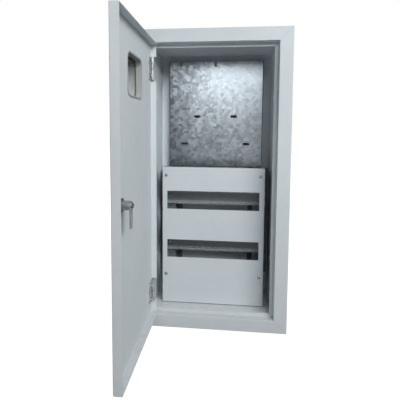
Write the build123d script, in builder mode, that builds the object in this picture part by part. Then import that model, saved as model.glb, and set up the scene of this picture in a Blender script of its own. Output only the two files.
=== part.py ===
from build123d import *
import os
from math import cos, radians, sin

# Wall-recessed meter and distribution enclosure, with its door standing open.
# Millimetres. X to the right, Y into the wall, Z up. The origin is the centre of the back wall's outer face,
# and the door is described at the angle that it has at rest.

# Overall sizes
frame_width = 350.0
frame_height = 690.0
depth = 165.0
sheet = 1.2
bend = 1.6

# Front frame: an outer return, a face, a rebate for the door and a lip behind the door
face_width = 30.0
face_return = 8.0
rebate_depth = 18.0
lip_width = 8.4

# Fixing holes in the side walls, two in each
fixing_from_back = 70.0
fixing_spacing = 400.0
fixing_hole = 8.0

# Mounting plate for the meter, a channel that stands on two feet
plate_sheet = 1.5
plate_side_gap = 22.0
plate_top_gap = 14.5
plate_lap = 4.0
plate_standoff = 13.8
plate_foot = 17.0
slot_breadth = 6.5
slot_length = 17.0
hanging_slot_depth = 15.0
hanging_slot_pitch = 92.0
middle_slot_drop = 144.5
middle_slot_spacing = 96.0
lower_slot_drop = 216.5
lower_slot_spacing = 162.0

# Uprights, hat sections that carry the rails and the cover's pillars
upright_sheet = 1.5
upright_web = 30.0
upright_foot = 11.0
upright_height = 52.3
upright_top_drop = 8.0
upright_bottom_rise = 49.0

# Top-hat rails
rail_width = 35.0
rail_crown = 27.0
rail_depth = 7.5
rail_sheet = 1.0
rail_overhang = 5.0
rail_drop = 80.5
rail_pitch = 122.0
rail_screw = 5.0
rail_screw_length = 8.0

# Device cover
cover_side_gap = 20.5
cover_bottom_gap = 3.0
cover_height = 341.0
cover_inset = 60.0
cover_flange = 15.0
device_slot_margin = 12.0
device_slot_height = 45.0
cover_screw_inset = 10.0
cover_screw_drop = 19.5
cover_screw_pitch = 248.0
cover_screw = 4.0
cover_screw_length = 14.0
cover_hole_gap = 0.3
pillar_flats = 8.0
screw_head_ratio = 1.9
screw_head_height_ratio = 0.6
screw_head_edge_ratio = 0.2
running_gap = 0.05

# Door, its opening angle at rest and its gaps to the rebate
door_angle = 90.0
door_gap = 2.0
hinge_gap = 3.0
door_flange = 16.5
hinge_flange = 13.0

# Hinges: the axis lies this far in from the door's hinge edge and from its outer face
axis_inset = 5.5
hinge_from_end = 55.0
hinge_height = 50.0
hinge_knuckle = 24.0
knuckle_gap = 0.5
knuckle_radius = 3.5
hinge_pin = 4.0
hinge_pin_head = 6.0
hinge_pin_head_height = 1.5
leaf_sheet = 2.0
frame_arm = 2.5
frame_leaf_gap = 0.5
door_leaf_width = 24.0
notch_margin = 2.0
hinge_screw = 4.0
hinge_screw_length = 8.0
hinge_screw_inset = 4.2
hinge_screw_spacing = 38.0
hinge_stud_inset = 16.0
hinge_stud_spacing = 34.0
hinge_nut_flats = 7.0
hinge_nut_height = 3.2
stud_tail = 1.0

# Window in the door, a clear pane in a moulded frame that clips into the door and stands out in front of it
window_width = 101.0
window_height = 79.0
window_corner = 16.0
window_from_hinge = 143.0
window_from_top = 91.5
window_gap = 0.1
window_bezel = 9.0
window_bezel_draft = 20.0
window_wall = 1.8
window_clip = 1.0
window_clip_height = 1.5
pane_thickness = 2.5
pane_rise = 9.0
pane_lip = 3.0
pane_lip_thickness = 1.5

# Cam lock in the door
lock_from_free_edge = 42.0
lock_z = -6.0
lock_barrel = 16.0
lock_bezel = 22.0
lock_bezel_height = 3.0
lock_bezel_edge = 1.2
lock_plug_size = 10.0
keyway_width = 1.4
keyway_height = 7.0
keyway_depth = 8.0
lock_nut_flats = 22.0
lock_nut_height = 5.0
lock_end_gap = 0.5
cam_clearance = 0.6
cam_thickness = 2.0
cam_width = 16.0
cam_tip = 11.0
cam_length = 40.0
cam_square = 6.0
cam_screw = 4.0
cam_screw_length = 8.0
cam_screw_flats = 8.0
cam_screw_head = 3.0

# Earth stud on the back wall, behind the cover
earth_x = 40.0
earth_from_bottom = 29.0
earth_stud_size = 6.0
earth_stud_length = 26.0
earth_collar = 12.0
earth_collar_height = 2.0
earth_washer = 12.0
earth_washer_thickness = 1.6
earth_nut_flats = 10.0
earth_nut_height = 5.0

# Places that follow from the sizes above
opening_width = frame_width - 2 * face_width
opening_height = frame_height - 2 * face_width
inner_bend = bend - sheet
face_y = -depth
lip_y = face_y + rebate_depth
box_depth = depth - rebate_depth - sheet
back_y = -sheet
plate_front_y = back_y - plate_standoff
upright_front_y = back_y - upright_height
rail_front_y = upright_front_y - rail_depth
cover_front_y = face_y + cover_inset
cover_back_y = cover_front_y + sheet
cover_width = opening_width - 2 * cover_side_gap
cover_top = cover_bottom_gap - opening_height / 2 + cover_height
upright_x = cover_width / 2 - cover_screw_inset
upright_top = cover_top - upright_top_drop
upright_length = cover_height - upright_top_drop - upright_bottom_rise
upright_bottom = upright_top - upright_length
rail_length = cover_width + 2 * rail_overhang
rail_levels = (cover_top - rail_drop, cover_top - rail_drop - rail_pitch)
cover_screw_levels = (cover_top - cover_screw_drop, cover_top - cover_screw_drop - cover_screw_pitch)
cover_screw_places = [(side * upright_x, z) for side in (-1, 1) for z in cover_screw_levels]
rail_screw_places = [(side * upright_x, z) for side in (-1, 1) for z in rail_levels]
plate_width = opening_width - 2 * plate_side_gap
plate_top = opening_height / 2 - plate_top_gap
plate_bottom = cover_top - plate_lap
plate_height = plate_top - plate_bottom

# The door is described from its hinge axis: x towards its free edge, depth inwards from its outer face
door_width = opening_width - hinge_gap - door_gap
door_height = opening_height - 2 * door_gap
hinge_x = -opening_width / 2 + hinge_gap + axis_inset
hinge_y = face_y + axis_inset
door_turn = radians(door_angle)
door_direction = (cos(door_turn), -sin(door_turn), 0)
door_outward = (-sin(door_turn), -cos(door_turn), 0)
hinge_point = (hinge_x, hinge_y, 0)
door_normal = Axis(hinge_point, door_outward)
door_skin = Plane(origin=hinge_point, x_dir=door_direction, z_dir=door_outward).offset(axis_inset)
door_section = Plane(origin=hinge_point, x_dir=door_direction, z_dir=(0, 0, 1))
hinge_edge_x = -axis_inset
free_edge_x = door_width - axis_inset
door_middle_x = door_width / 2 - axis_inset
hinge_z = door_height / 2 - hinge_from_end
hinge_levels = {"upper": hinge_z, "lower": -hinge_z}
hinge_screw_x = -opening_width / 2 + hinge_screw_inset
hinge_screw_places = [
    (hinge_screw_x, z + side * hinge_screw_spacing / 2) for z in hinge_levels.values() for side in (-1, 1)
]
hinge_stud_places = [
    (hinge_stud_inset, z + side * hinge_stud_spacing / 2) for z in hinge_levels.values() for side in (-1, 1)
]
hinge_stud_length = leaf_sheet + hinge_nut_height + stud_tail
window_place = (hinge_edge_x + window_from_hinge, door_height / 2 - window_from_top)
lock_place = (free_edge_x - lock_from_free_edge, lock_z)
cam_seat = rebate_depth + sheet + cam_clearance

front_plane = Plane.XZ


def at_depth(y):
    """Plane that faces the front at the given Y, with X to the right and Z up."""
    return front_plane.offset(-y)


def pan_screws(places, seat_y, shank, length):
    """Pan-head screws at (x, z) places, with their heads in front of the seat."""
    head = shank * screw_head_ratio
    head_height = shank * screw_head_height_ratio
    with BuildPart() as screws:
        with BuildSketch(at_depth(seat_y)):
            with Locations(*places):
                Circle(head / 2)
        extrude(amount=head_height)
        chamfer(screws.faces().group_by(Axis.Y)[0].edges(), shank * screw_head_edge_ratio)
        with BuildSketch(at_depth(seat_y)):
            with Locations(*places):
                Circle(shank / 2)
        extrude(amount=-length)
    return screws


# Back box: a tub folded up from its back and seamed at the corners, open at the front
with BuildPart() as back_box:
    with BuildSketch(at_depth(0)):
        Rectangle(opening_width, opening_height)
    extrude(amount=box_depth)
    fillet(back_box.faces().sort_by(Axis.Y)[-1].edges(), bend)
    offset(amount=-sheet, openings=back_box.faces().sort_by(Axis.Y)[0])
    with BuildSketch(Plane.YZ.offset(-opening_width / 2)):
        with Locations((-fixing_from_back, -fixing_spacing / 2), (-fixing_from_back, fixing_spacing / 2)):
            Circle(fixing_hole / 2)
    extrude(amount=opening_width, mode=Mode.SUBTRACT)

# Front frame: one folded section, mitred at the four corners
with BuildPart() as front_frame:
    with BuildLine(at_depth(face_y)) as opening_edge:
        Polyline(
            (0, -opening_height / 2),
            (opening_width / 2, -opening_height / 2),
            (opening_width / 2, opening_height / 2),
            (-opening_width / 2, opening_height / 2),
            (-opening_width / 2, -opening_height / 2),
            close=True,
        )
    with BuildSketch(Plane(origin=(0, face_y, -opening_height / 2), x_dir=(0, 0, -1), z_dir=(1, 0, 0))):
        with BuildLine():
            FilletPolyline(
                (face_width, face_return),
                (face_width, 0),
                (0, 0),
                (0, rebate_depth),
                (-lip_width, rebate_depth),
                radius=[bend, bend, inner_bend],
            )
            offset(amount=sheet, side=Side.RIGHT)
        make_face()
    sweep(path=opening_edge.wire(), transition=Transition.RIGHT)
    with BuildSketch(at_depth(lip_y)):
        with Locations(*hinge_screw_places):
            Circle(hinge_screw / 2 + running_gap)
    extrude(amount=-sheet, mode=Mode.SUBTRACT)

# Mounting plate: a lipped channel on its feet, with slots for the meter
with BuildPart() as mounting_plate:
    with BuildSketch(Plane.XY.offset(plate_bottom)):
        with BuildLine():
            FilletPolyline(
                (plate_foot - plate_width / 2, back_y),
                (-plate_width / 2, back_y),
                (-plate_width / 2, plate_front_y),
                (plate_width / 2, plate_front_y),
                (plate_width / 2, back_y),
                (plate_width / 2 - plate_foot, back_y),
                radius=inner_bend + plate_sheet,
            )
            offset(amount=plate_sheet, side=Side.LEFT)
        make_face()
    extrude(amount=plate_height)
    with BuildSketch(at_depth(plate_front_y)):
        with Locations((-hanging_slot_pitch, plate_top), (0, plate_top)):
            SlotOverall(2 * hanging_slot_depth, slot_breadth, rotation=90)
        with Locations((0, plate_top - middle_slot_drop)):
            with GridLocations(middle_slot_spacing, 1, 2, 1):
                SlotOverall(slot_length, slot_breadth)
        with Locations((0, plate_top - lower_slot_drop)):
            with GridLocations(lower_slot_spacing, 1, 2, 1):
                SlotOverall(slot_length, slot_breadth)
    extrude(amount=-plate_sheet, mode=Mode.SUBTRACT)


def upright(middle_x):
    """Hat section along Z, with holes for the rail screws and the pillars' stubs."""
    half_hollow = upright_web / 2 - upright_sheet
    half_base = upright_web / 2 + upright_foot
    hollow_y = upright_front_y + upright_sheet
    with BuildPart() as section:
        with BuildSketch(Plane.XY.offset(upright_bottom)):
            with BuildLine():
                FilletPolyline(
                    (middle_x - half_base, back_y),
                    (middle_x - half_hollow, back_y),
                    (middle_x - half_hollow, hollow_y),
                    (middle_x + half_hollow, hollow_y),
                    (middle_x + half_hollow, back_y),
                    (middle_x + half_base, back_y),
                    radius=[inner_bend + upright_sheet, inner_bend, inner_bend, inner_bend + upright_sheet],
                )
                offset(amount=upright_sheet, side=Side.RIGHT)
            make_face()
        extrude(amount=upright_length)
        with BuildSketch(at_depth(upright_front_y)):
            with Locations(*rail_screw_places):
                Circle(rail_screw / 2 + running_gap)
            with Locations(*cover_screw_places):
                Circle(cover_screw / 2 + running_gap)
        extrude(amount=-upright_sheet, mode=Mode.SUBTRACT)
    return section


left_upright = upright(-upright_x)
right_upright = upright(upright_x)


def top_hat_rail(middle_z):
    """Top-hat rail along X: flanges in front, crown against the uprights."""
    half_width = rail_width / 2
    half_hollow = rail_crown / 2 - rail_sheet
    hollow_y = upright_front_y - rail_sheet
    with BuildPart() as rail:
        with BuildSketch(Plane.YZ.offset(-rail_length / 2)):
            with BuildLine():
                FilletPolyline(
                    (rail_front_y, middle_z + half_width),
                    (rail_front_y, middle_z + half_hollow),
                    (hollow_y, middle_z + half_hollow),
                    (hollow_y, middle_z - half_hollow),
                    (rail_front_y, middle_z - half_hollow),
                    (rail_front_y, middle_z - half_width),
                    radius=[inner_bend + rail_sheet, inner_bend, inner_bend, inner_bend + rail_sheet],
                )
                offset(amount=rail_sheet, side=Side.LEFT)
            make_face()
        extrude(amount=rail_length)
        with BuildSketch(at_depth(hollow_y)):
            with Locations(*rail_screw_places):
                Circle(rail_screw / 2 + running_gap)
        extrude(amount=-rail_sheet, mode=Mode.SUBTRACT)
    return rail


upper_din_rail = top_hat_rail(rail_levels[0])
lower_din_rail = top_hat_rail(rail_levels[1])
din_rail_screws = pan_screws(rail_screw_places, upright_front_y - rail_sheet, rail_screw, rail_screw_length)

# Pillars: hexagon spacers from the uprights to the cover, with a stub below and a tapped hole above
with BuildPart() as cover_pillars:
    with BuildSketch(at_depth(upright_front_y)):
        with Locations(*cover_screw_places):
            RegularPolygon(pillar_flats / 2, 6, major_radius=False)
    extrude(amount=upright_front_y - cover_back_y)
    with BuildSketch(at_depth(upright_front_y)):
        with Locations(*cover_screw_places):
            Circle(cover_screw / 2)
    extrude(amount=-upright_sheet)
    with BuildSketch(at_depth(cover_back_y)):
        with Locations(*cover_screw_places):
            Circle(cover_screw / 2 + running_gap)
    extrude(amount=-cover_screw_length, mode=Mode.SUBTRACT)

# Device cover: a shallow pan, open at the back, with two slots for the devices
with BuildPart() as device_cover:
    with BuildSketch(at_depth(cover_front_y)):
        with Locations((0, cover_top - cover_height / 2)):
            Rectangle(cover_width, cover_height)
    extrude(amount=-cover_flange)
    fillet(device_cover.faces().sort_by(Axis.Y)[0].edges(), bend)
    offset(amount=-sheet, openings=device_cover.faces().sort_by(Axis.Y)[-1])
    with BuildSketch(at_depth(cover_front_y)):
        with Locations(*[(0, z) for z in rail_levels]):
            Rectangle(cover_width - 2 * device_slot_margin, device_slot_height)
        with Locations(*cover_screw_places):
            Circle(cover_screw / 2 + cover_hole_gap)
    extrude(amount=-sheet, mode=Mode.SUBTRACT)

cover_screws = pan_screws(cover_screw_places, cover_front_y, cover_screw, cover_screw_length)

# Door panel: a folded pan with a shallower flange on the hinge side, notched at the hinges
with BuildPart() as door_panel:
    with BuildSketch(door_skin):
        with Locations((door_middle_x, 0)):
            Rectangle(door_width, door_height)
    extrude(amount=-door_flange)
    fillet(door_panel.faces().sort_by(door_normal)[-1].edges(), bend)
    offset(amount=-sheet, openings=door_panel.faces().sort_by(door_normal)[0])
    with BuildSketch(door_skin.offset(-hinge_flange)):
        with Locations((hinge_edge_x, 0)):
            Rectangle(2 * bend, door_height)
    extrude(amount=hinge_flange - door_flange, mode=Mode.SUBTRACT)
    with BuildSketch(door_skin.offset(-sheet)):
        with Locations(*[(hinge_edge_x, z) for z in hinge_levels.values()]):
            Rectangle(2 * bend, hinge_height + 2 * notch_margin)
    extrude(amount=sheet - hinge_flange, mode=Mode.SUBTRACT)
    with BuildSketch(door_skin):
        with Locations(window_place):
            RectangleRounded(window_width, window_height, window_corner)
        with Locations(lock_place):
            Circle(lock_barrel / 2 + running_gap)
    extrude(amount=-sheet, mode=Mode.SUBTRACT)
    with BuildSketch(door_skin.offset(-sheet)):
        with Locations(*hinge_stud_places):
            Circle(hinge_screw / 2)
    extrude(amount=-hinge_stud_length)


def window_outline(plane, growth):
    """Outline of the window's opening on a plane along the door, grown all round."""
    with BuildSketch(plane) as outline:
        with Locations(window_place):
            RectangleRounded(window_width + 2 * growth, window_height + 2 * growth, window_corner + growth)
    return outline.sketch


# Window frame: a bezel outside, a collar through the door and a clip inside
pane_edge = -window_gap - window_wall
pane_front = pane_rise + pane_thickness
frame_rise = pane_front + pane_lip_thickness
clip_depth = sheet + window_clip_height
clip_end = door_skin.offset(-clip_depth)
with BuildPart() as window_frame:
    extrude(window_outline(door_skin, window_bezel), frame_rise, taper=window_bezel_draft)
    extrude(window_outline(door_skin, -window_gap), -sheet)
    extrude(window_outline(door_skin.offset(-sheet), window_clip), -window_clip_height)
    extrude(window_outline(clip_end, pane_edge), clip_depth + pane_front, mode=Mode.SUBTRACT)
    extrude(window_outline(door_skin, pane_edge - pane_lip), frame_rise, mode=Mode.SUBTRACT)

# Window pane, set against the lip at the front of its frame
with BuildPart() as window_pane:
    extrude(window_outline(door_skin.offset(pane_rise), pane_edge - window_gap), pane_thickness)

# Lock housing: a barrel through the door with a round bezel outside
with BuildPart() as lock_housing:
    with BuildSketch(door_skin):
        with Locations(lock_place):
            Circle(lock_bezel / 2)
    extrude(amount=lock_bezel_height)
    chamfer(lock_housing.faces().sort_by(door_normal)[-1].edges(), lock_bezel_edge)
    with BuildSketch(door_skin):
        with Locations(lock_place):
            Circle(lock_barrel / 2)
    extrude(amount=lock_end_gap - cam_seat)
    with BuildSketch(door_skin.offset(lock_bezel_height)):
        with Locations(lock_place):
            Circle(lock_plug_size / 2 + running_gap)
    extrude(amount=-lock_bezel_height - cam_seat, mode=Mode.SUBTRACT)

# Lock nut against the inside of the door
with BuildPart() as lock_nut:
    with BuildSketch(door_skin.offset(-sheet)):
        with Locations(lock_place):
            RegularPolygon(lock_nut_flats / 2, 6, major_radius=False)
            Circle(lock_barrel / 2 + running_gap, mode=Mode.SUBTRACT)
    extrude(amount=-lock_nut_height)

# Lock plug: it turns in the housing, with a keyway outside and a square for the cam inside
with BuildPart() as lock_plug:
    with BuildSketch(door_skin.offset(lock_bezel_height)):
        with Locations(lock_place):
            Circle(lock_plug_size / 2)
    extrude(amount=-lock_bezel_height - cam_seat)
    with BuildSketch(door_skin.offset(-cam_seat)):
        with Locations(lock_place):
            Rectangle(cam_square, cam_square)
    extrude(amount=-cam_thickness)
    with BuildSketch(door_skin.offset(lock_bezel_height)):
        with Locations(lock_place):
            Rectangle(keyway_width, keyway_height)
    extrude(amount=-keyway_depth, mode=Mode.SUBTRACT)
    with BuildSketch(door_skin.offset(-cam_seat - cam_thickness)):
        with Locations(lock_place):
            Circle(cam_screw / 2 + running_gap)
    extrude(amount=cam_screw_length, mode=Mode.SUBTRACT)

# Lock cam, hanging down in the unlocked position
with BuildPart() as lock_cam:
    with BuildSketch(door_skin.offset(-cam_seat)):
        with Locations(lock_place):
            Circle(cam_width / 2)
        with Locations((lock_place[0], lock_z - cam_length + cam_tip / 2)):
            Circle(cam_tip / 2)
        make_hull()
        with Locations(lock_place):
            Rectangle(cam_square + 2 * running_gap, cam_square + 2 * running_gap, mode=Mode.SUBTRACT)
    extrude(amount=-cam_thickness)

# Cam screw in the end of the plug
with BuildPart() as cam_screw_piece:
    with BuildSketch(door_skin.offset(-cam_seat - cam_thickness)):
        with Locations(lock_place):
            RegularPolygon(cam_screw_flats / 2, 6, major_radius=False)
    extrude(amount=-cam_screw_head)
    with BuildSketch(door_skin.offset(-cam_seat - cam_thickness)):
        with Locations(lock_place):
            Circle(cam_screw / 2)
    extrude(amount=cam_screw_length)


def hinge_frame_leaf(z):
    """Angle on the lip of the frame, with an arm that carries the middle knuckle."""
    left = -opening_width / 2 + frame_leaf_gap - hinge_x
    right = frame_arm / 2
    seat = lip_y - hinge_y
    with BuildPart() as leaf:
        with BuildSketch(Plane((hinge_x, hinge_y, z - hinge_height / 2))):
            with Locations(((left + right) / 2, seat - leaf_sheet / 2)):
                Rectangle(right - left, leaf_sheet)
        extrude(amount=hinge_height)
        with BuildSketch(Plane((hinge_x, hinge_y, z - hinge_knuckle / 2))):
            with Locations((0, seat / 2)):
                Rectangle(frame_arm, seat)
            Circle(knuckle_radius)
            Circle(hinge_pin / 2 + running_gap, mode=Mode.SUBTRACT)
        extrude(amount=hinge_knuckle)
        with BuildSketch(at_depth(lip_y)):
            with Locations(*hinge_screw_places):
                Circle(hinge_screw / 2 + running_gap)
        extrude(amount=leaf_sheet, mode=Mode.SUBTRACT)
    return leaf


def hinge_door_leaf(z):
    """Flat leaf on the inside of the door, with a knuckle at each end."""
    middle_cut = hinge_knuckle + 2 * knuckle_gap
    with BuildPart() as leaf:
        with BuildSketch(door_skin.offset(-sheet)):
            with Locations((door_leaf_width / 2, z)):
                Rectangle(door_leaf_width, hinge_height)
            with Locations((0, z)):
                Rectangle(2 * (knuckle_radius + knuckle_gap), middle_cut, mode=Mode.SUBTRACT)
            with Locations(*hinge_stud_places):
                Circle(hinge_screw / 2 + running_gap, mode=Mode.SUBTRACT)
        extrude(amount=-leaf_sheet)
        knuckle_feet = [door_section.offset(z - hinge_height / 2), door_section.offset(z + middle_cut / 2)]
        with BuildSketch(*knuckle_feet):
            Circle(knuckle_radius)
        extrude(amount=(hinge_height - middle_cut) / 2)
        with BuildSketch(door_section.offset(z - hinge_height / 2)):
            Circle(hinge_pin / 2 + running_gap)
        extrude(amount=hinge_height, mode=Mode.SUBTRACT)
    return leaf


def hinge_pin_piece(z):
    """Pin through the three knuckles, with a head on top."""
    with BuildPart() as pin:
        with BuildSketch(Plane((hinge_x, hinge_y, z - hinge_height / 2))):
            Circle(hinge_pin / 2)
        extrude(amount=hinge_height)
        with BuildSketch(Plane((hinge_x, hinge_y, z + hinge_height / 2))):
            Circle(hinge_pin_head / 2)
        extrude(amount=hinge_pin_head_height)
    return pin


hinge_screws = pan_screws(hinge_screw_places, lip_y - leaf_sheet, hinge_screw, hinge_screw_length)

# Nuts on the door's studs
with BuildPart() as hinge_nuts:
    with BuildSketch(door_skin.offset(-sheet - leaf_sheet)):
        with Locations(*hinge_stud_places):
            RegularPolygon(hinge_nut_flats / 2, 6, major_radius=False)
            Circle(hinge_screw / 2 + running_gap, mode=Mode.SUBTRACT)
    extrude(amount=-hinge_nut_height)

# Earth stud, welded to the back wall by its collar
earth_place = (earth_x, earth_from_bottom - opening_height / 2)
with BuildPart() as earth_stud:
    with BuildSketch(at_depth(back_y)):
        with Locations(earth_place):
            Circle(earth_collar / 2)
    extrude(amount=earth_collar_height)
    with BuildSketch(at_depth(back_y)):
        with Locations(earth_place):
            Circle(earth_stud_size / 2)
    extrude(amount=earth_stud_length)

# Washer and nut on the earth stud
earth_seat_y = back_y - earth_collar_height
with BuildPart() as earth_washer_piece:
    with BuildSketch(at_depth(earth_seat_y)):
        with Locations(earth_place):
            Circle(earth_washer / 2)
            Circle(earth_stud_size / 2 + running_gap, mode=Mode.SUBTRACT)
    extrude(amount=earth_washer_thickness)

with BuildPart() as earth_nut:
    with BuildSketch(at_depth(earth_seat_y - earth_washer_thickness)):
        with Locations(earth_place):
            RegularPolygon(earth_nut_flats / 2, 6, major_radius=False)
            Circle(earth_stud_size / 2 + running_gap, mode=Mode.SUBTRACT)
    extrude(amount=earth_nut_height)

pieces = {
    "back_box": back_box,
    "front_frame": front_frame,
    "mounting_plate": mounting_plate,
    "left_upright": left_upright,
    "right_upright": right_upright,
    "upper_din_rail": upper_din_rail,
    "lower_din_rail": lower_din_rail,
    "din_rail_screws": din_rail_screws,
    "cover_pillars": cover_pillars,
    "device_cover": device_cover,
    "cover_screws": cover_screws,
    "door_panel": door_panel,
    "window_frame": window_frame,
    "window_pane": window_pane,
    "lock_housing": lock_housing,
    "lock_nut": lock_nut,
    "lock_plug": lock_plug,
    "lock_cam": lock_cam,
    "cam_screw": cam_screw_piece,
    "hinge_screws": hinge_screws,
    "hinge_nuts": hinge_nuts,
    "earth_stud": earth_stud,
    "earth_washer": earth_washer_piece,
    "earth_nut": earth_nut,
}
for level, z in hinge_levels.items():
    pieces[f"{level}_hinge_frame_leaf"] = hinge_frame_leaf(z)
    pieces[f"{level}_hinge_door_leaf"] = hinge_door_leaf(z)
    pieces[f"{level}_hinge_pin"] = hinge_pin_piece(z)

os.makedirs("parts", exist_ok=True)
for name, piece in pieces.items():
    piece.part.label = name
    export_step(piece.part, f"parts/{name}.step")
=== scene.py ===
"""Recessed meter and distribution enclosure: its finishes, screw heads, stage and camera."""
from math import cos, pi, radians, sin
from typing import NamedTuple

import bmesh
import bpy
from bpy.props import FloatProperty, FloatVectorProperty, PointerProperty
from mathutils import Matrix, Vector


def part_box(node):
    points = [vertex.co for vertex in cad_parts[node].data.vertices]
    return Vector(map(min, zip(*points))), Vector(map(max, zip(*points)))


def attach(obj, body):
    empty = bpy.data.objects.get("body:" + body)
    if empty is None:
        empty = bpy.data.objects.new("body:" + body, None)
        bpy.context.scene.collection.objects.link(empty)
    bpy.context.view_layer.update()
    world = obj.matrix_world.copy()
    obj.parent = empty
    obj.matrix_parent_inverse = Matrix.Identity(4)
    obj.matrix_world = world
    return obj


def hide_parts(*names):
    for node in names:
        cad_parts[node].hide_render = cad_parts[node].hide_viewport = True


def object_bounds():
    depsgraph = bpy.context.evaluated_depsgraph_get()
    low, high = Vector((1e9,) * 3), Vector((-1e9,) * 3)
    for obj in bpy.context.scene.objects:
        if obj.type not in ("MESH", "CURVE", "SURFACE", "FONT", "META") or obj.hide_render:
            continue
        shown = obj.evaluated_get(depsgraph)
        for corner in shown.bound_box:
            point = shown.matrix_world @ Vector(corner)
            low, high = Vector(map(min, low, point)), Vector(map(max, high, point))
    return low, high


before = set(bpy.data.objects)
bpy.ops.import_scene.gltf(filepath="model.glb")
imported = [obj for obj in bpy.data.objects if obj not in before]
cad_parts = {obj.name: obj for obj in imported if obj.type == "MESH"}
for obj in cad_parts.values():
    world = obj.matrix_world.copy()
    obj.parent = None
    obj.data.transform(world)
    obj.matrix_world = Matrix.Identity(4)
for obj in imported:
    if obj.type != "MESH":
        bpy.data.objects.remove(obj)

bl_info = {
    "name": "Recessed Meter Enclosure",
    "version": (1, 0, 0),
    "blender": (4, 5, 0),
    "location": "View3D > Sidebar > Enclosure",
    "description": "Finishes a sheet-metal meter enclosure and sets it on a pale stage",
    "category": "Object",
}

CAD_BOX = [list(corner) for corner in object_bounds()]


class Plating(NamedTuple):
    """How stained a plated steel is, how strong its bright edges are, how metallic, and how far in metres a
    bright edge reaches; a narrow bright edge is wear, and a wide one, as on the rails, is painted highlight
    """

    stain: float
    rub_and_highlight: float
    metallic: float = 0.9
    reach: float = 0.0008


class LampSpot(NamedTuple):
    """Where a square lamp stands, the point it looks at and its width, in metres"""

    place: tuple
    target: tuple
    width: float


# CAD nodes by finish
PAINTED_NODES = ("back_box", "device_cover", "door_panel")
FRAME_NODE = "front_frame"
PLATE_NODE = "mounting_plate"
UPRIGHT_NODES = ("left_upright", "right_upright")
RAIL_NODES = ("upper_din_rail", "lower_din_rail")
FASTENER_NODES = ("cover_pillars", "hinge_nuts")
HINGE_NODES = tuple(
    f"{level}_hinge_{piece}" for level in ("upper", "lower") for piece in ("frame_leaf", "door_leaf", "pin")
)
CASTING_NODES = ("lock_housing", "lock_plug")
EARTH_NODES = ("earth_stud", "earth_washer", "earth_nut")

# Screws: shank diameters in metres, the head's size over the shank's, the head's outline as shares of its
# radius and height, the cross recess as shares of the same, and how far apart two screws are, in radii
SCREW_SIZES = {"cover_screws": 0.004, "din_rail_screws": 0.005, "hinge_screws": 0.004}
HEAD_RATIO = 1.9
HEAD_HEIGHT_RATIO = 0.6
HEAD_PROFILE = ((1.0, 0.0), (1.0, 0.324), (0.94, 0.576), (0.80, 0.72))
RECESS_ARM = 0.60
RECESS_HALF_WIDTH = 0.15
RECESS_TAPER = 0.7
RECESS_FLOOR = 0.25
RING_POINTS = 32
SCREW_SPREAD = 4.0

# Noise: the span that most of it keeps to, and how fine and rough it is
NOISE_SPAN = (0.3, 0.7)
CLOUD_DETAIL = 3.0
PEEL_DETAIL = 1.5
RAGGED_DETAIL = 4.0
RAGGED_ROUGHNESS = 0.6

# Powder coat: clouds and patches per metre, the clouds' share of the two, and the coat's roughness
COAT_CLOUDS = 7.0
COAT_PATCHES = 45.0
COAT_CLOUD_SHARE = 0.7
COAT_ROUGHNESS = (0.62, 0.74)
COAT_SHADER = {"Metallic": 0.0, "IOR": 1.5, "Specular IOR Level": 0.2}

# Mitre seams: how much of the coat they hide, and their shade of it
SEAM_DEPTH = 0.45
SEAM_SHADE = 0.4

# Dust: drifts per metre, the upward tilt at which it starts and is whole, its cover, and how far it dulls
DUST_DRIFTS = 60.0
DUST_TILT = (0.2, 0.9)
DUST_COVER = (0.5, 1.0)
DUST_DULLING = 0.4

# Zinc spangle: how far the flakes' edges bend, clouds and feathers per metre, and each one's share of it
ZINC_BEND = 0.004
ZINC_CLOUDS = 14.0
ZINC_FEATHERS = 900.0
ZINC_FLAKE_SHARE = 0.55
ZINC_CLOUD_SHARE = 0.55
ZINC_FEATHER_SWING = 0.125
ZINC_TONE_SPAN = (0.2, 0.95)
ZINC_ROUGHNESS = (0.275, 0.315)
LEVEL_FLAKE = (0.5, 0.5, 0.5)
PLATE_METALLIC = 0.95
# The uprights' zinc is a darker copy all but without metal sheen: painted shade for where they stand, in the
# dark behind the cover.
SHADED_UPRIGHT_METALLIC = 0.08
METAL_SPECULAR = 0.25

# Plated steel: the grain's stretch along X, its shade, roughness and height in metres, and its stains
GRAIN_STRETCH = (0.05, 1.0, 1.0)
GRAIN_SHADE = (0.82, 1.0)
GRAIN_SPAN = (0.2, 0.8)
GRAIN_ROUGHNESS = (0.24, 0.40)
GRAIN_HEIGHT = 0.00002
STAIN_SPAN = (0.42, 0.66)
STAIN_DULLING = 0.3

# Bright edges, wear on most parts and painted highlight on the rails' bends: the turn of the surface at
# which they start and are whole, and the breaks in them per metre
RUB_AND_HIGHLIGHT_TURN = (0.985, 0.80)
RUB_AND_HIGHLIGHT_BREAKS = 220.0
RUB_AND_HIGHLIGHT_SPAN = (0.35, 0.62)
RUB_AND_HIGHLIGHT_SAMPLES = 4

# Plated finishes
# The rails' bright edges reach wide and at full strength: painted highlight along their bends. On the other
# finishes the narrow bright edges are wear.
RAIL_PLATING = Plating(stain=0.15, rub_and_highlight=1.0, metallic=0.04, reach=0.0045)
FASTENER_PLATING = Plating(stain=0.3, rub_and_highlight=0.6)
HINGE_PLATING = Plating(stain=0.6, rub_and_highlight=0.3, metallic=0.35)
CASTING_PLATING = Plating(stain=0.25, rub_and_highlight=0.5)
NUT_PLATING = Plating(stain=0.4, rub_and_highlight=0.6)
CAM_PLATING = Plating(stain=0.35, rub_and_highlight=0.3, metallic=0.8)
BRASS_PLATING = Plating(stain=0.3, rub_and_highlight=0.5)

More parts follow.
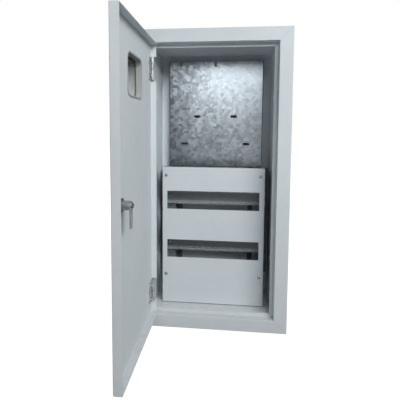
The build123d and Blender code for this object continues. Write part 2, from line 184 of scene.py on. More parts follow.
# Window: the moulding's mottle, bumps per metre and their height in metres, and the pane's painted light and
# shade: wobbles per metre and swing of the ragged line between them, and the height span over which its pale
# tint low down, painted light, gives way to its near-black tint high up, painted shade
MOULDING_MOTTLE = 0.08
MOULDING_BUMPS = 2200.0
MOULDING_HEIGHT = 0.00003
MOULDING_SHADER = {"Metallic": 0.0, "IOR": 1.5}
BOUNDARY_WOBBLES = 35.0
BOUNDARY_WOBBLE_SWING = 0.15
PAINTED_LIGHT_SPAN = (0.15, 0.82)
PANE_ROUGHNESS = (0.03, 0.16)
PANE_SHADER = {"Metallic": 0.0, "IOR": 1.49, "Specular IOR Level": 0.15, "Transmission Weight": 1.0}

# Stage: the floor and how it fades to white with distance, in metres, the lamps and the camera's sensor
WHITE = (1.0, 1.0, 1.0, 1.0)
FLOOR_HALF = 6.0
FLOOR_GAP = 0.0005
FLOOR_ROUGHNESS = 0.9
FLOOR_FADE = (0.7, 2.2)
FLOOR_WHITENESS = (0.88, 1.0)
KEY_SPOT = LampSpot(place=(1.05, -1.38, 1.05), target=(0.0, -0.2, 0.0), width=1.0)
UPPER_SPOT = LampSpot(place=(0.25, -1.50, 0.78), target=(0.0, -0.1, -0.1), width=0.35)
GLEAM_SPOT = LampSpot(place=(-0.04, -1.95, 0.54), target=(0.0, -0.1, 0.1), width=0.3)
RIM_SPOT = LampSpot(place=(-1.35, 1.0, 0.9), target=(0.0, -0.15, 0.0), width=1.2)
SENSOR_WIDTH = 36.0


def colour_property(name, description, default):
    """A linear colour with a picker."""
    return FloatVectorProperty(
        name=name, description=description, default=default, subtype="COLOR", size=3, min=0.0, max=1.0
    )


def length_property(name, description, default):
    """A length in metres."""
    return FloatProperty(
        name=name, description=description, default=default, min=0.0, precision=5,
        subtype="DISTANCE", unit="LENGTH",
    )


def share_property(name, description, default):
    """A share from none to all."""
    return FloatProperty(
        name=name, description=description, default=default, min=0.0, max=1.0, subtype="FACTOR"
    )


def angle_property(name, description, degrees):
    """An angle, given in degrees."""
    return FloatProperty(
        name=name, description=description, default=radians(degrees), subtype="ANGLE", unit="ROTATION"
    )


def power_property(name, description, default):
    """A lamp's power in watts."""
    return FloatProperty(name=name, description=description, default=default, min=0.0, unit="POWER")


class PaintSettings(bpy.types.PropertyGroup):
    """Powder coat on the sheet metal"""

    coat: colour_property("Coat", "Colour of the powder coat", (0.670, 0.722, 0.755))
    dust: colour_property("Dust", "Colour of the dust that settles on ledges", (0.45, 0.43, 0.40))
    dust_amount: share_property("Dust Amount", "How much of a level surface the dust covers", 0.45)
    mottle: share_property("Mottle", "How far the coat's brightness wanders", 0.10)
    peel: length_property("Peel", "Distance from one bump of the coat to the next", 0.0011)
    peel_height: length_property("Peel Height", "Height of the coat's bumps", 0.00004)
    seam: length_property("Seam", "Width of the mitre seams in the front frame", 0.0009)


class ZincSettings(bpy.types.PropertyGroup):
    """Galvanised and plated steel"""

    bright: colour_property("Bright", "Colour of the bright zinc flakes", (0.245, 0.272, 0.297))
    dull: colour_property("Dull", "Colour of the dull zinc flakes", (0.13, 0.15, 0.164))
    # The uprights' darker flakes are painted shade for the dark behind the cover.
    shaded_upright: colour_property("Shaded Upright", "Colour of the bright flakes on the uprights", (0.22, 0.24, 0.26))
    flake: length_property("Flake", "Size of a zinc flake", 0.0076)
    tilt: share_property("Tilt", "How far the flakes tilt from the sheet", 0.04)
    rail: colour_property("Rail", "Colour of the dull plated rails", (0.29, 0.31, 0.325))
    plating: colour_property("Plating", "Colour of the plated screws and pillars", (0.30, 0.31, 0.32))
    hinge: colour_property("Hinge", "Colour of the hinges' plating", (0.54, 0.57, 0.59))
    stain: colour_property("Stain", "Colour of the blotches on plated steel", (0.13, 0.135, 0.14))
    stain_size: length_property("Stain Size", "Distance from one blotch to the next", 0.013)
    # Colour of the bright edges: wear on narrow edges, painted highlight on the rails' wide bends
    rubbed_and_highlit: colour_property("Rubbed and Highlit", "Colour of rubbed edges and bends", (0.85, 0.87, 0.88))
    grain: length_property("Grain", "Width of the rolled grain", 0.0006)


class WindowSettings(bpy.types.PropertyGroup):
    """Inspection window in the door"""

    moulding: colour_property("Moulding", "Colour of the moulded frame", (0.37, 0.39, 0.39))
    # The pane's tints are painted light and shade: near black high up, painted shade, and pale low down,
    # painted light.
    pane: colour_property("Pane", "Tint of the clear pane", (0.02, 0.021, 0.02))
    painted_light: colour_property("Painted Light", "Tint of the pane where its film is thick, low down", (0.50, 0.53, 0.52))


class LockSettings(bpy.types.PropertyGroup):
    """Cam lock and earth terminal"""

    casting: colour_property("Casting", "Colour of the lock's plated casting", (0.46, 0.47, 0.48))
    nut: colour_property("Nut", "Colour of the lock's nut and screw", (0.16, 0.165, 0.17))
    cam: colour_property("Cam", "Colour of the cam", (0.48, 0.50, 0.51))
    brass: colour_property("Brass", "Colour of the earth terminal", (0.60, 0.43, 0.17))


class StageSettings(bpy.types.PropertyGroup):
    """Camera, lamps and floor"""

    camera_place: FloatVectorProperty(
        name="Camera", description="Place of the camera", default=(0.0459, -0.9827, 0.1210),
        subtype="TRANSLATION", unit="LENGTH",
    )
    camera_yaw: angle_property("Yaw", "Turn of the camera to the left", 6.08)
    camera_pitch: angle_property("Pitch", "Tilt of the camera above level", -4.44)
    camera_roll: angle_property("Roll", "Turn of the camera about its own axis", 0.36)
    lens: FloatProperty(
        name="Lens", description="Focal length on a 36 mm sensor", default=32.76, unit="CAMERA"
    )
    shift_x: FloatProperty(name="Shift X", description="Sideways shift of the frame", default=0.016)
    shift_y: FloatProperty(name="Shift Y", description="Upward shift of the frame", default=-0.105)
    key_power: power_property("Key", "Power of the main lamp, at the right", 26.2)
    upper_power: power_property("Upper", "Power of the lamp above the front", 4.8)
    gleam_power: power_property("Gleam", "Power of the lamp that shows in reflections alone", 4.15)
    rim_power: power_property("Rim", "Power of the lamp behind, at the left", 30.0)
    fill_level: share_property("Fill", "Light from all round", 0.01)
    floor: colour_property("Floor", "Colour of the floor", (0.25, 0.25, 0.25))


def feed(tree, socket, value):
    """Links an input to another node's output, or sets it where the value is plain."""
    if isinstance(value, bpy.types.NodeSocket):
        tree.links.new(value, socket)
    else:
        socket.default_value = value


def add_node(tree, kind, values=(), **settings):
    """A shader node with its settings and its inputs."""
    node = tree.nodes.new(kind)
    for name, value in settings.items():
        setattr(node, name, value)
    for name, value in dict(values).items():
        feed(tree, node.inputs[name], value)
    return node


def arithmetic(tree, operation, first, second=0.0, clamp=False):
    """The result of one calculation on two values."""
    node = add_node(tree, "ShaderNodeMath", {0: first, 1: second}, operation=operation, use_clamp=clamp)
    return node.outputs["Value"]


def vector_maths(tree, operation, inputs, result="Vector"):
    """The result of one calculation on directions."""
    return add_node(tree, "ShaderNodeVectorMath", inputs, operation=operation).outputs[result]


def remap(tree, value, span, result=(0.0, 1.0)):
    """A value moved from one span to another and held inside it."""
    inputs = {
        "Value": value, "From Min": span[0], "From Max": span[1], "To Min": result[0], "To Max": result[1],
    }
    return add_node(tree, "ShaderNodeMapRange", inputs).outputs["Result"]


def weighted_sum(tree, first, first_share, second, second_share):
    """Two values added up, each by its share."""
    left = arithmetic(tree, "MULTIPLY", first, first_share)
    right = arithmetic(tree, "MULTIPLY", second, second_share)
    return arithmetic(tree, "ADD", left, right)


def swing(tree, value, reach):
    """A value from 0 to 1 made to swing as far below zero as above it."""
    return arithmetic(tree, "MULTIPLY", remap(tree, value, (0.0, 1.0), (-1.0, 1.0)), reach)


def grey(tree, level):
    """A grey of that level."""
    inputs = {"Red": level, "Green": level, "Blue": level}
    return add_node(tree, "ShaderNodeCombineColor", inputs).outputs["Color"]


def mix_colours(tree, share, first, second, blend="MIX"):
    """Two colours mixed by a share."""
    node = add_node(tree, "ShaderNodeMix", data_type="RGBA", blend_type=blend)
    share_input, first_input, second_input = (socket for socket in node.inputs if socket.enabled)
    feed(tree, share_input, share)
    feed(tree, first_input, first)
    feed(tree, second_input, second)
    return next(socket for socket in node.outputs if socket.enabled)


def noise(tree, where, scale, detail=2.0, roughness=0.5, result="Fac"):
    """Noise from 0 to 1 over the surface, as a value or a colour."""
    inputs = {"Vector": where, "Scale": scale, "Detail": detail, "Roughness": roughness}
    return add_node(tree, "ShaderNodeTexNoise", inputs).outputs[result]


def ragged_noise(tree, where, scale):
    """Noise with ragged edges."""
    return noise(tree, where, scale, RAGGED_DETAIL, RAGGED_ROUGHNESS)


def axes_of(tree, vector):
    """The three shares of a direction or place."""
    return add_node(tree, "ShaderNodeSeparateXYZ", {"Vector": vector}).outputs


def rgba(colour):
    """A colour property with full opacity."""
    return (*colour, 1.0)


def start_group(name, inputs, outputs):
    """An empty node group with its sockets: its tree, what it is given and the surface's own coordinates."""
    tree = bpy.data.node_groups.new(name, "ShaderNodeTree")
    kinds = {"colour": "NodeSocketColor", "value": "NodeSocketFloat", "direction": "NodeSocketVector"}
    for direction, sockets in (("INPUT", inputs), ("OUTPUT", outputs)):
        for socket, kind in sockets.items():
            tree.interface.new_socket(name=socket, in_out=direction, socket_type=kinds[kind])
    given = tree.nodes.new("NodeGroupInput").outputs
    where = tree.nodes.new("ShaderNodeTexCoord").outputs["Object"]
    return tree, given, where


def end_group(tree, results):
    """Links the results to the group's outputs."""
    add_node(tree, "NodeGroupOutput", results)
    return tree


def build_powder_coat(name):
    """Powder coat: a slightly uneven colour over a fine orange peel."""
    tree, given, where = start_group(
        name,
        {"Coat": "colour", "Mottle": "value", "Bumps per Metre": "value"},
        {"Colour": "colour", "Roughness": "value", "Height": "value"},
    )
    clouds = noise(tree, where, COAT_CLOUDS, CLOUD_DETAIL)
    patches = noise(tree, where, COAT_PATCHES)
    wander = weighted_sum(tree, clouds, COAT_CLOUD_SHARE, patches, 1.0 - COAT_CLOUD_SHARE)
    level = arithmetic(tree, "ADD", swing(tree, wander, given["Mottle"]), 1.0)
    return end_group(tree, {
        "Colour": mix_colours(tree, 1.0, given["Coat"], grey(tree, level), "MULTIPLY"),
        "Roughness": remap(tree, wander, NOISE_SPAN, COAT_ROUGHNESS),
        "Height": noise(tree, where, given["Bumps per Metre"], PEEL_DETAIL),
    })


def build_settled_dust(name):
    """Dust on what faces up, in uneven drifts."""
    tree, given, where = start_group(
        name,
        {"Colour": "colour", "Roughness": "value", "Dust": "colour", "Amount": "value"},
        {"Colour": "colour", "Roughness": "value"},
    )
    normal = tree.nodes.new("ShaderNodeNewGeometry").outputs["Normal"]
    ledge = remap(tree, axes_of(tree, normal)["Z"], DUST_TILT)
    drift = remap(tree, ragged_noise(tree, where, DUST_DRIFTS), NOISE_SPAN, DUST_COVER)
    cover = arithmetic(tree, "MULTIPLY", ledge, drift)
    share = arithmetic(tree, "MULTIPLY", cover, given["Amount"], clamp=True)
    dulling = arithmetic(tree, "MULTIPLY", share, DUST_DULLING)
    return end_group(tree, {
        "Colour": mix_colours(tree, share, given["Colour"], given["Dust"]),
        "Roughness": arithmetic(tree, "ADD", given["Roughness"], dulling, clamp=True),
    })


def build_zinc_spangle(name):
    """Hot-dip zinc: tilted flakes of differing brightness with feathered edges."""
    tree, given, where = start_group(
        name,
        {"Bright": "colour", "Dull": "colour", "Flakes per Metre": "value", "Tilt": "value"},
        {"Colour": "colour", "Roughness": "value", "Normal": "direction"},
    )
    ripple = noise(tree, where, given["Flakes per Metre"], CLOUD_DETAIL, result="Color")
    still = vector_maths(tree, "SCALE", {0: where, "Scale": 1.0 - ZINC_BEND})
    moved = vector_maths(tree, "SCALE", {0: ripple, "Scale": ZINC_BEND})
    bent = vector_maths(tree, "ADD", {0: still, 1: moved})
    flake = add_node(
        tree, "ShaderNodeTexVoronoi", {"Vector": bent, "Scale": given["Flakes per Metre"]}
    ).outputs["Color"]
    tone = add_node(tree, "ShaderNodeSeparateColor", {"Color": flake}).outputs["Red"]
    clouds = noise(tree, where, ZINC_CLOUDS, CLOUD_DETAIL)
    feather = swing(tree, noise(tree, where, ZINC_FEATHERS, CLOUD_DETAIL), ZINC_FEATHER_SWING)
    patches = weighted_sum(tree, tone, ZINC_FLAKE_SHARE, clouds, ZINC_CLOUD_SHARE)
    share = remap(tree, arithmetic(tree, "ADD", patches, feather), ZINC_TONE_SPAN)
    lean = vector_maths(tree, "SUBTRACT", {0: flake, 1: LEVEL_FLAKE})
    tilt = vector_maths(tree, "SCALE", {0: lean, "Scale": given["Tilt"]})
    normal = tree.nodes.new("ShaderNodeNewGeometry").outputs["Normal"]
    leaning = vector_maths(tree, "ADD", {0: normal, 1: tilt})
    return end_group(tree, {
        "Colour": mix_colours(tree, share, given["Dull"], given["Bright"]),
        "Roughness": remap(tree, tone, (0.0, 1.0), ZINC_ROUGHNESS),
        "Normal": vector_maths(tree, "NORMALIZE", {0: leaning}),
    })


def build_plated_grain(name):
    """Plated steel: rolled grain along X with blotches of dull zinc."""
    tree, given, where = start_group(
        name,
        {"Plating": "colour", "Stain": "colour", "Stain Amount": "value", "Stains per Metre": "value",
         "Grains per Metre": "value"},
        {"Colour": "colour", "Roughness": "value", "Height": "value"},
    )
    drawn = vector_maths(tree, "MULTIPLY", {0: where, 1: GRAIN_STRETCH})
    grain = noise(tree, drawn, given["Grains per Metre"])
    blotch = remap(tree, noise(tree, where, given["Stains per Metre"], CLOUD_DETAIL), STAIN_SPAN)
    share = arithmetic(tree, "MULTIPLY", blotch, given["Stain Amount"], clamp=True)
    stained = mix_colours(tree, share, given["Plating"], given["Stain"])
    shade = grey(tree, remap(tree, grain, NOISE_SPAN, GRAIN_SHADE))
    dulling = arithmetic(tree, "MULTIPLY", share, STAIN_DULLING)
    return end_group(tree, {
        "Colour": mix_colours(tree, 1.0, stained, shade, "MULTIPLY"),
        "Roughness": arithmetic(tree, "ADD", remap(tree, grain, GRAIN_SPAN, GRAIN_ROUGHNESS), dulling),
        "Height": grain,
    })


def build_edge_rub_and_highlight(name):
    """Mask of bright edges, wear and painted highlight: where the surface turns within a short distance."""
    tree, given, where = start_group(name, {"Reach": "value", "Amount": "value"}, {"Mask": "value"})
    bevel = add_node(tree, "ShaderNodeBevel", {"Radius": given["Reach"]}, samples=RUB_AND_HIGHLIGHT_SAMPLES)
    flat = tree.nodes.new("ShaderNodeNewGeometry").outputs["True Normal"]
    facing = vector_maths(tree, "DOT_PRODUCT", {0: bevel.outputs["Normal"], 1: flat}, "Value")
    turned = remap(tree, facing, RUB_AND_HIGHLIGHT_TURN)
    breaks = remap(tree, ragged_noise(tree, where, RUB_AND_HIGHLIGHT_BREAKS), RUB_AND_HIGHLIGHT_SPAN)
    broken = arithmetic(tree, "MULTIPLY", turned, breaks)
    return end_group(tree, {"Mask": arithmetic(tree, "MULTIPLY", broken, given["Amount"], clamp=True)})


def place_group(tree, name, maker, values):
    """A node group in a material with its own values, built the first time it is asked for."""
    node = tree.nodes.new("ShaderNodeGroup")
    node.node_tree = bpy.data.node_groups.get(name) or maker(name)
    for socket, value in values.items():
        feed(tree, node.inputs[socket], value)
    return node.outputs


def start_material(name, constants):
    """A material with one principled shader and the constants that are the same all over it."""
    material = bpy.data.materials.new(name)
    material.use_nodes = True
    tree = material.node_tree
    shader = tree.nodes["Principled BSDF"]
    for socket, value in constants.items():
        shader.inputs[socket].default_value = value
    return material, tree, shader


def finish_surface(tree, shader, colour, roughness):
    """Links a surface's colour and roughness to its shader."""
    tree.links.new(colour, shader.inputs["Base Color"])
    tree.links.new(roughness, shader.inputs["Roughness"])


def add_bumps(tree, shader, height, metres):
    """Gives a surface bumps of that height."""
    bumps = add_node(tree, "ShaderNodeBump", {"Height": height, "Strength": 1.0, "Distance": metres})
    tree.links.new(bumps.outputs["Normal"], shader.inputs["Normal"])


def dusty_coat(tree, shader, paint):
    """The powder coat's bumps on a shader, and the coat's colour and roughness with the dust on it."""
    coat = place_group(tree, "Powder Coat", build_powder_coat, {
        "Coat": rgba(paint.coat), "Mottle": paint.mottle, "Bumps per Metre": 1.0 / paint.peel,
    })
    add_bumps(tree, shader, coat["Height"], paint.peel_height)
    dusty = place_group(tree, "Settled Dust", build_settled_dust, {
        "Colour": coat["Colour"], "Roughness": coat["Roughness"],
        "Dust": rgba(paint.dust), "Amount": paint.dust_amount,
    })
    return dusty["Colour"], dusty["Roughness"]


def painted_sheet(paint):
    """Light grey powder coat on sheet steel."""
    material, tree, shader = start_material("painted_sheet", COAT_SHADER)
    colour, roughness = dusty_coat(tree, shader, paint)
    finish_surface(tree, shader, colour, roughness)
    return material


def painted_frame(paint):
    """The same coat on the front frame, with the mitre seams that run to its corners."""
    material, tree, shader = start_material("painted_frame", COAT_SHADER)
    colour, roughness = dusty_coat(tree, shader, paint)
    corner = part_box(FRAME_NODE)[1]
    axes = axes_of(tree, tree.nodes.new("ShaderNodeTexCoord").outputs["Object"])
    from_side = arithmetic(tree, "SUBTRACT", corner.x, arithmetic(tree, "ABSOLUTE", axes["X"]))
    from_end = arithmetic(tree, "SUBTRACT", corner.z, arithmetic(tree, "ABSOLUTE", axes["Z"]))
    off_mitre = arithmetic(tree, "ABSOLUTE", arithmetic(tree, "SUBTRACT", from_side, from_end))
    seam = remap(tree, off_mitre, (0.0, paint.seam), (SEAM_DEPTH, 0.0))
    seam_colour = rgba([SEAM_SHADE * channel for channel in paint.coat])
    finish_surface(tree, shader, mix_colours(tree, seam, colour, seam_colour), roughness)
    return material


def spangled_zinc(name, bright, zinc, metallic):
    """Hot-dip galvanised sheet, the less metallic the duller."""
    material, tree, shader = start_material(
        name, {"Metallic": metallic, "Specular IOR Level": METAL_SPECULAR}
    )
    spangle = place_group(tree, "Zinc Spangle", build_zinc_spangle, {
        "Bright": rgba(bright), "Dull": rgba(zinc.dull),
        "Flakes per Metre": 1.0 / zinc.flake, "Tilt": zinc.tilt,
    })
    finish_surface(tree, shader, spangle["Colour"], spangle["Roughness"])
    tree.links.new(spangle["Normal"], shader.inputs["Normal"])
    return material


def plated_steel(name, colour, zinc, plating):
    """Plated steel with its grain, blotches and bright edges: wear where they are narrow, painted highlight
    where they reach wide, as on the rails.
    """
    material, tree, shader = start_material(
        name, {"Metallic": plating.metallic, "Specular IOR Level": METAL_SPECULAR}
    )
    plated = place_group(tree, "Plated Grain", build_plated_grain, {
        "Plating": rgba(colour), "Stain": rgba(zinc.stain), "Stain Amount": plating.stain,
        "Stains per Metre": 1.0 / zinc.stain_size, "Grains per Metre": 1.0 / zinc.grain,
    })
    rubbed_and_highlit = place_group(tree, "Edge Rub and Highlight", build_edge_rub_and_highlight, {"Reach": plating.reach, "Amount": plating.rub_and_highlight})
    # Bright edges: wear on narrow edges, painted highlight on the rails' wide bends.
    worn_and_highlit = mix_colours(tree, rubbed_and_highlit["Mask"], plated["Colour"], rgba(zinc.rubbed_and_highlit))
    finish_surface(tree, shader, worn_and_highlit, plated["Roughness"])
    add_bumps(tree, shader, plated["Height"], GRAIN_HEIGHT)
    return material


def moulded_plastic(window):
    """Grey moulded plastic with a spark-eroded texture."""
    material, tree, shader = start_material("window_plastic", MOULDING_SHADER)
    coat = place_group(tree, "Powder Coat", build_powder_coat, {
        "Coat": rgba(window.moulding), "Mottle": MOULDING_MOTTLE, "Bumps per Metre": MOULDING_BUMPS,
    })
    finish_surface(tree, shader, coat["Colour"], coat["Roughness"])
    add_bumps(tree, shader, coat["Height"], MOULDING_HEIGHT)
    return material


def clear_pane(window):
    """Clear plastic tinted near black high up, painted shade, and pale low down, painted light, with a
    ragged line between the two; it is rougher low down.
    """
    material, tree, shader = start_material("clear_pane", PANE_SHADER)
    where = tree.nodes.new("ShaderNodeTexCoord").outputs
    # Painted light and shade: the pane's tint goes from pale low down, painted light, to near black high up,
    # painted shade, across a ragged line.
    boundary_wobble = swing(tree, ragged_noise(tree, where["Object"], BOUNDARY_WOBBLES), BOUNDARY_WOBBLE_SWING)
    height = arithmetic(tree, "ADD", axes_of(tree, where["Generated"])["Z"], boundary_wobble)
    painted_light = remap(tree, height, PAINTED_LIGHT_SPAN, (1.0, 0.0))
    colour = mix_colours(tree, painted_light, rgba(window.pane), rgba(window.painted_light))
    finish_surface(tree, shader, colour, remap(tree, painted_light, (0.0, 1.0), PANE_ROUGHNESS))
    return material


def dress(names, material):
    """Gives a finish to CAD nodes."""
    for name in names:
        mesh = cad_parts[name].data
        mesh.materials.clear()
        mesh.materials.append(material)


def ring(mesh, centre, radius, rise):
    """A ring of corners about a screw's axis, which runs along -Y from its seat."""
    corners = []
    for k in range(RING_POINTS):
        angle = 2 * pi * k / RING_POINTS
        corners.append(mesh.verts.new(centre + Vector((radius * cos(angle), -rise, radius * sin(angle)))))
    return corners


def bridge(mesh, first, second):
    """A band of faces between two rings."""
    count = len(first)
    for k in range(count):
        after = (k + 1) % count
        mesh.faces.new((first[k], first[after], second[after], second[k]))


def ring_edges(mesh, corners):
    """The edges along a ring, made where they are missing."""
    pairs = zip(corners, corners[1:] + corners[:1])
    return [mesh.edges.get(pair) or mesh.edges.new(pair) for pair in pairs]


def cross_outline(arm, half):
    """The corners of a cross about zero, from the reach and half the width of its arms."""
    quarter = ((half, half), (half, arm), (-half, arm))
    corners = []
    for turns in range(4):
        angle = turns * pi / 2
        for x, z in quarter:
            corners.append((x * cos(angle) - z * sin(angle), x * sin(angle) + z * cos(angle)))
    return corners


def cross_head_screw(mesh, seat, radius, height, shank, length):
    """Adds a pan-head screw with a cross recess, whose head stands on its seat."""
    rings = [ring(mesh, seat, shank, -length), ring(mesh, seat, shank, 0.0)]
    for width, rise in HEAD_PROFILE:
        rings.append(ring(mesh, seat, width * radius, rise * height))
    for first, second in zip(rings, rings[1:]):
        bridge(mesh, first, second)
    tail, crown = rings[0], rings[-1]
    mesh.faces.new(tail)
    outline = cross_outline(RECESS_ARM * radius, RECESS_HALF_WIDTH * radius)
    mouth = [mesh.verts.new(seat + Vector((x, -height, z))) for x, z in outline]
    floor = -RECESS_FLOOR * height
    bottom = [mesh.verts.new(seat + Vector((RECESS_TAPER * x, floor, RECESS_TAPER * z))) for x, z in outline]
    bridge(mesh, mouth, bottom)
    mesh.faces.new(bottom)
    rims = ring_edges(mesh, crown) + ring_edges(mesh, mouth)
    bmesh.ops.triangle_fill(mesh, use_beauty=True, edges=rims)


def screw_boxes(node, spread):
    """The lowest and highest corners of each screw in a CAD node, told apart by their distance across."""
    screws = []
    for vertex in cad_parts[node].data.vertices:
        for low, high in screws:
            if abs(vertex.co.x - low.x) < spread and abs(vertex.co.z - low.z) < spread:
                for axis in range(3):
                    low[axis] = min(low[axis], vertex.co[axis])
                    high[axis] = max(high[axis], vertex.co[axis])
                break
        else:
            screws.append((vertex.co.copy(), vertex.co.copy()))
    if not screws:
        raise RuntimeError(f"{node} holds no screws")
    return screws


def cross_head_set(node, size, material):
    """Cross-head screws for a CAD node of plain pan-head ones, in the same places and at the same size."""
    radius = HEAD_RATIO * size / 2
    height = HEAD_HEIGHT_RATIO * size
    mesh = bmesh.new()
    for low, high in screw_boxes(node, SCREW_SPREAD * radius):
        seat = Vector(((low.x + high.x) / 2, low.y + height, (low.z + high.z) / 2))
        cross_head_screw(mesh, seat, radius, height, size / 2, high.y - seat.y)
    bmesh.ops.recalc_face_normals(mesh, faces=mesh.faces)
    data = bpy.data.meshes.new(f"{node}_cross_head")
    mesh.to_mesh(data)
    mesh.free()
    data.materials.append(material)
    piece = bpy.data.objects.new(f"{node}_cross_head", data)
    bpy.context.scene.collection.objects.link(piece)
    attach(piece, "enclosure")
    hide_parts(node)


class ENCLOSURE_OT_sheet_metal(bpy.types.Operator):
    """Paint the tub, the front frame, the cover and the door"""

    bl_idname = "enclosure.sheet_metal"
    bl_label = "Painted Sheet Metal"

    def execute(self, context):
        paint = context.scene.enclosure_paint
        dress(PAINTED_NODES, painted_sheet(paint))
        dress((FRAME_NODE,), painted_frame(paint))
        return {"FINISHED"}


class ENCLOSURE_OT_zinc_sheet(bpy.types.Operator):
    """Galvanise the mounting plate, and give the uprights a darker, duller copy of the zinc as painted shade
    """

    bl_idname = "enclosure.zinc_sheet"
    bl_label = "Galvanised Sheet"

    def execute(self, context):
        zinc = context.scene.enclosure_zinc
        dress((PLATE_NODE,), spangled_zinc("galvanised_sheet", zinc.bright, zinc, PLATE_METALLIC))
        dress(UPRIGHT_NODES, spangled_zinc("shaded_galvanised_uprights", zinc.shaded_upright, zinc, SHADED_UPRIGHT_METALLIC))
        return {"FINISHED"}


class ENCLOSURE_OT_rails(bpy.types.Operator):
    """Plate the device rails"""

    bl_idname = "enclosure.rails"
    bl_label = "Device Rails"

    def execute(self, context):
        zinc = context.scene.enclosure_zinc
        dress(RAIL_NODES, plated_steel("plated_rail", zinc.rail, zinc, RAIL_PLATING))
        return {"FINISHED"}


class ENCLOSURE_OT_fasteners(bpy.types.Operator):
    """Plate the pillars, the nuts and the screws"""

    bl_idname = "enclosure.fasteners"
    bl_label = "Fasteners"

    def execute(self, context):
        zinc = context.scene.enclosure_zinc
        plated = plated_steel("plated_fasteners", zinc.plating, zinc, FASTENER_PLATING)
        dress(FASTENER_NODES, plated)
        for node, size in SCREW_SIZES.items():
            cross_head_set(node, size, plated)
        return {"FINISHED"}


class ENCLOSURE_OT_hinges(bpy.types.Operator):
    """Plate the hinges"""

    bl_idname = "enclosure.hinges"
    bl_label = "Hinges"

    def execute(self, context):
        zinc = context.scene.enclosure_zinc
        dress(HINGE_NODES, plated_steel("hinge_steel", zinc.hinge, zinc, HINGE_PLATING))
        return {"FINISHED"}


class ENCLOSURE_OT_window(bpy.types.Operator):
    """Finish the window's frame and its pane"""

    bl_idname = "enclosure.window"
    bl_label = "Window"

    def execute(self, context):
        window = context.scene.enclosure_window
        dress(("window_frame",), moulded_plastic(window))
        dress(("window_pane",), clear_pane(window))
        return {"FINISHED"}


class ENCLOSURE_OT_lock(bpy.types.Operator):
    """Finish the cam lock"""

    bl_idname = "enclosure.lock"
    bl_label = "Cam Lock"

    def execute(self, context):
        lock = context.scene.enclosure_lock
        zinc = context.scene.enclosure_zinc
        dress(CASTING_NODES, plated_steel("lock_metal", lock.casting, zinc, CASTING_PLATING))
        dress(("lock_nut",), plated_steel("lock_nut_metal", lock.nut, zinc, NUT_PLATING))
        dress(("lock_cam",), plated_steel("cam_steel", lock.cam, zinc, CAM_PLATING))
        dress(("cam_screw",), plated_steel("cam_screw_metal", lock.nut, zinc, NUT_PLATING))
        return {"FINISHED"}


class ENCLOSURE_OT_earth(bpy.types.Operator):
    """Finish the earth terminal"""

    bl_idname = "enclosure.earth"
    bl_label = "Earth Terminal"

    def execute(self, context):
        lock = context.scene.enclosure_lock
        zinc = context.scene.enclosure_zinc
        dress(EARTH_NODES, plated_steel("earth_brass", lock.brass, zinc, BRASS_PLATING))
        return {"FINISHED"}


def white_to_the_eye(tree):
    """A mask of the rays that see the background: straight, in a reflection or through the pane."""
    path = tree.nodes.new("ShaderNodeLightPath").outputs
    seen = arithmetic(tree, "ADD", path["Is Camera Ray"], path["Is Glossy Ray"], clamp=True)
    return arithmetic(tree, "ADD", seen, path["Is Transmission Ray"], clamp=True)


def build_world(scene, fill_level):
    """White where it is seen, and a weak fill from all round otherwise."""
    world = bpy.data.worlds.new("studio")
    scene.world = world
    world.use_nodes = True
    tree = world.node_tree
    background = tree.nodes["Background"]
    background.inputs["Color"].default_value = WHITE
    strength = remap(tree, white_to_the_eye(tree), (0.0, 1.0), (fill_level, 1.0))
    tree.links.new(strength, background.inputs["Strength"])


def build_floor(colour, height):
    """A pale floor that looks white to the camera and still takes the shadow."""
    data = bpy.data.meshes.new("floor")
    corners = [(x * FLOOR_HALF, y * FLOOR_HALF, height) for x, y in ((-1, -1), (1, -1), (1, 1), (-1, 1))]
    data.from_pydata(corners, [], [(0, 1, 2, 3)])
    floor = bpy.data.objects.new("floor", data)
    bpy.context.scene.collection.objects.link(floor)
    material, tree, shader = start_material(
        "floor_paint", {"Roughness": FLOOR_ROUGHNESS, "Base Color": rgba(colour)}
    )
    where = tree.nodes.new("ShaderNodeTexCoord").outputs["Object"]
    away = vector_maths(tree, "LENGTH", {0: where}, "Value")
    fade = remap(tree, away, FLOOR_FADE, FLOOR_WHITENESS)
    level = arithmetic(tree, "MULTIPLY", white_to_the_eye(tree), fade)
    glow = add_node(tree, "ShaderNodeEmission", {"Color": WHITE, "Strength": level}).outputs["Emission"]
    summed = add_node(tree, "ShaderNodeAddShader", {0: shader.outputs["BSDF"], 1: glow})
    tree.links.new(summed.outputs["Shader"], tree.nodes["Material Output"].inputs["Surface"])
    data.materials.append(material)


def build_lamp(name, spot, power):
    """A square soft lamp that looks at a point."""
    data = bpy.data.lights.new(name, "AREA")
    data.shape = "SQUARE"
    data.size = spot.width
    data.energy = power
    lamp = bpy.data.objects.new(name, data)
    lamp.location = spot.place
    lamp.rotation_euler = (Vector(spot.target) - Vector(spot.place)).to_track_quat("-Z", "Y").to_euler()
    bpy.context.scene.collection.objects.link(lamp)
    return lamp


def build_camera(stage):
    """The camera at the photograph's place, with its lens and the frame's shift."""
    data = bpy.data.cameras.new("camera")
    data.sensor_width = SENSOR_WIDTH
    data.lens = stage.lens
    data.shift_x = stage.shift_x
    data.shift_y = stage.shift_y
    camera = bpy.data.objects.new("camera", data)
    turn = Matrix.Rotation(stage.camera_yaw, 4, "Z") @ Matrix.Rotation(pi / 2 + stage.camera_pitch, 4, "X")
    turn = turn @ Matrix.Rotation(stage.camera_roll, 4, "Z")
    camera.matrix_world = Matrix.Translation(stage.camera_place) @ turn
    bpy.context.scene.collection.objects.link(camera)
    bpy.context.scene.camera = camera


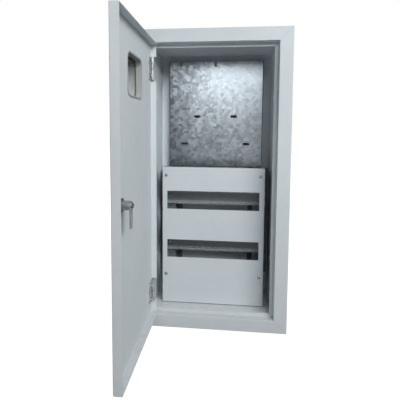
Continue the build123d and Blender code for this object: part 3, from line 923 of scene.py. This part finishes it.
class ENCLOSURE_OT_stage(bpy.types.Operator):
    """Set the floor, the lamps, the world and the camera"""

    bl_idname = "enclosure.stage"
    bl_label = "Stage"

    def execute(self, context):
        stage = context.scene.enclosure_stage
        context.scene.view_settings.view_transform = "Standard"
        build_world(context.scene, stage.fill_level)
        build_floor(stage.floor, CAD_BOX[0][2] - FLOOR_GAP)
        build_lamp("key", KEY_SPOT, stage.key_power)
        build_lamp("upper", UPPER_SPOT, stage.upper_power)
        gleam = build_lamp("gleam", GLEAM_SPOT, stage.gleam_power)
        gleam.visible_diffuse = False
        build_lamp("rim", RIM_SPOT, stage.rim_power)
        build_camera(stage)
        return {"FINISHED"}


class ENCLOSURE_PT_panel(bpy.types.Panel):
    """Settings and steps of the enclosure"""

    bl_label = "Meter Enclosure"
    bl_space_type = "VIEW_3D"
    bl_region_type = "UI"
    bl_category = "Enclosure"

    def draw(self, context):
        for name in SETTINGS:
            settings = getattr(context.scene, name)
            box = self.layout.box()
            for prop in settings.bl_rna.properties:
                if prop.identifier not in {"rna_type", "name"}:
                    box.prop(settings, prop.identifier)
        for operator in OPERATORS:
            self.layout.operator(operator.bl_idname)


SETTINGS = {
    "enclosure_paint": PaintSettings,
    "enclosure_zinc": ZincSettings,
    "enclosure_window": WindowSettings,
    "enclosure_lock": LockSettings,
    "enclosure_stage": StageSettings,
}
OPERATORS = (
    ENCLOSURE_OT_sheet_metal,
    ENCLOSURE_OT_zinc_sheet,
    ENCLOSURE_OT_rails,
    ENCLOSURE_OT_fasteners,
    ENCLOSURE_OT_hinges,
    ENCLOSURE_OT_window,
    ENCLOSURE_OT_lock,
    ENCLOSURE_OT_earth,
    ENCLOSURE_OT_stage,
)


def register():
    """Registers the settings, the operators and the panel."""
    for name, settings in SETTINGS.items():
        bpy.utils.register_class(settings)
        setattr(bpy.types.Scene, name, PointerProperty(type=settings))
    for operator in OPERATORS:
        bpy.utils.register_class(operator)
    bpy.utils.register_class(ENCLOSURE_PT_panel)


def unregister():
    """Takes out what register put in."""
    bpy.utils.unregister_class(ENCLOSURE_PT_panel)
    for operator in reversed(OPERATORS):
        bpy.utils.unregister_class(operator)
    for name, settings in SETTINGS.items():
        delattr(bpy.types.Scene, name)
        bpy.utils.unregister_class(settings)


def main():
    """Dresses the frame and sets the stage."""
    register()
    bpy.ops.enclosure.sheet_metal()
    bpy.ops.enclosure.zinc_sheet()
    bpy.ops.enclosure.rails()
    bpy.ops.enclosure.fasteners()
    bpy.ops.enclosure.hinges()
    bpy.ops.enclosure.window()
    bpy.ops.enclosure.lock()
    bpy.ops.enclosure.earth()
    bpy.ops.enclosure.stage()


if __name__ == "__main__":
    main()
